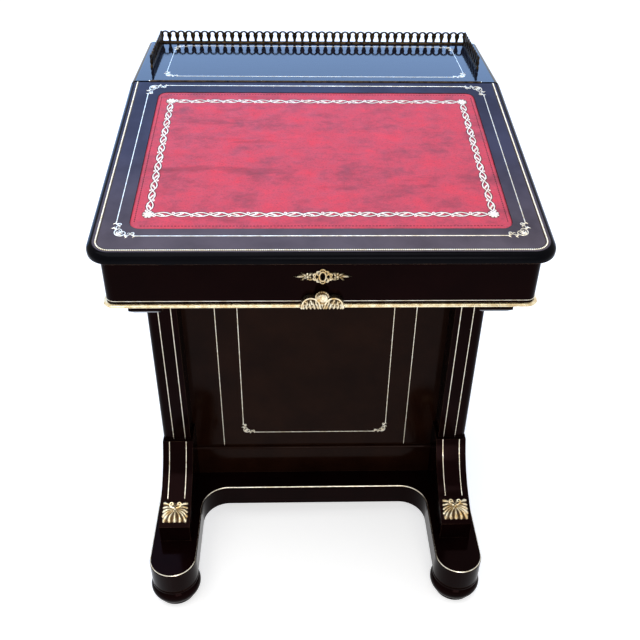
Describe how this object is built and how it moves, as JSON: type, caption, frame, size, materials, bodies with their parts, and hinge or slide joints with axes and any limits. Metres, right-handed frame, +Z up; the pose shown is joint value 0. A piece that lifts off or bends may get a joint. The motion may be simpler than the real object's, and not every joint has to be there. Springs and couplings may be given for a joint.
{
  "type": "davenport desk",
  "caption": "Small writing desk with a sloping leather-lined lid over a box, on a drawer pedestal with scroll-footed front supports and a U-shaped platform on bun feet.",
  "frame": {"origin": "on the floor under the middle of the desk's width and depth", "axes": "+X to the sitter's right, +Y away from the sitter, +Z up"},
  "size_m": [0.5659, 0.598, 0.803],
  "materials": {
    "ebonised_wood": "polished black lacquer",
    "plain_wood": "oiled",
    "gilt_brass": "gilt, lightly worn",
    "red_leather": "tooled, satin"
  },
  "bodies": {
    "carcase": {"bearer_left": "ebonised_wood", "bearer_right": "ebonised_wood", "box_back": "ebonised_wood", "box_band": "gilt_brass", "box_bottom": "ebonised_wood", "box_front": "ebonised_wood", "box_left": "ebonised_wood", "box_right": "ebonised_wood", "bun_feet": "ebonised_wood", "dummy_drawer_fronts": "ebonised_wood", "dust_board_1": "ebonised_wood", "dust_board_2": "ebonised_wood", "dust_board_3": "ebonised_wood", "dust_board_4": "ebonised_wood", "dust_board_5": "ebonised_wood", "escutcheon": "gilt_brass", "flat_top": "ebonised_wood", "gallery": "gilt_brass", "hinge_fixed_leaf": "gilt_brass", "hinge_pin": "gilt_brass", "lock_case": "gilt_brass", "mask_mount": "gilt_brass", "palmette_mount_left": "gilt_brass", "palmette_mount_right": "gilt_brass", "pedestal_back": "ebonised_wood", "pedestal_front": "ebonised_wood", "pedestal_left_side": "ebonised_wood", "pilaster_left": "ebonised_wood", "pilaster_right": "ebonised_wood", "platform": "ebonised_wood", "plinth": "ebonised_wood", "scroll_foot_left": "ebonised_wood", "scroll_foot_right": "ebonised_wood", "till_case": "plain_wood"},
    "lid": {"lid_board": "ebonised_wood", "lid_leather": "red_leather", "lid_bead": "gilt_brass", "hinge_lid_leaf": "gilt_brass", "lock_keeper": "gilt_brass"},
    "till_drawer_left": {"till_drawer_left": "plain_wood"},
    "till_drawer_right": {"till_drawer_right": "plain_wood"},
    "lock_bolt": {"lock_bolt": "gilt_brass"},
    "drawer_1": {"drawer_1_front": "ebonised_wood", "drawer_1_tray": "plain_wood"},
    "drawer_2": {"drawer_2_front": "ebonised_wood", "drawer_2_tray": "plain_wood"},
    "drawer_3": {"drawer_3_front": "ebonised_wood", "drawer_3_tray": "plain_wood"},
    "drawer_4": {"drawer_4_front": "ebonised_wood", "drawer_4_tray": "plain_wood"}
  },
  "joints": [
    {"name": "lid_hinge", "type": "hinge", "parent": "carcase", "child": "lid", "pos_m": [0, 0.1, 0.783], "axis": [-1, 0, 0], "range_deg": [0, 100]},
    {"name": "drawer_1_slide", "type": "slide", "parent": "carcase", "child": "drawer_1", "axis": [1, 0, 0], "range_m": [0, 0.3]},
    {"name": "drawer_2_slide", "type": "slide", "parent": "carcase", "child": "drawer_2", "axis": [1, 0, 0], "range_m": [0, 0.3]},
    {"name": "drawer_3_slide", "type": "slide", "parent": "carcase", "child": "drawer_3", "axis": [1, 0, 0], "range_m": [0, 0.3]},
    {"name": "drawer_4_slide", "type": "slide", "parent": "carcase", "child": "drawer_4", "axis": [1, 0, 0], "range_m": [0, 0.3]},
    {"name": "till_left_slide", "type": "slide", "parent": "carcase", "child": "till_drawer_left", "axis": [0, -1, 0], "range_m": [0, 0.11]},
    {"name": "till_right_slide", "type": "slide", "parent": "carcase", "child": "till_drawer_right", "axis": [0, -1, 0], "range_m": [0, 0.11]},
    {"name": "bolt_throw", "type": "slide", "parent": "carcase", "child": "lock_bolt", "axis": [0, 1, 0], "range_m": [0, 0.008]}
  ]
}
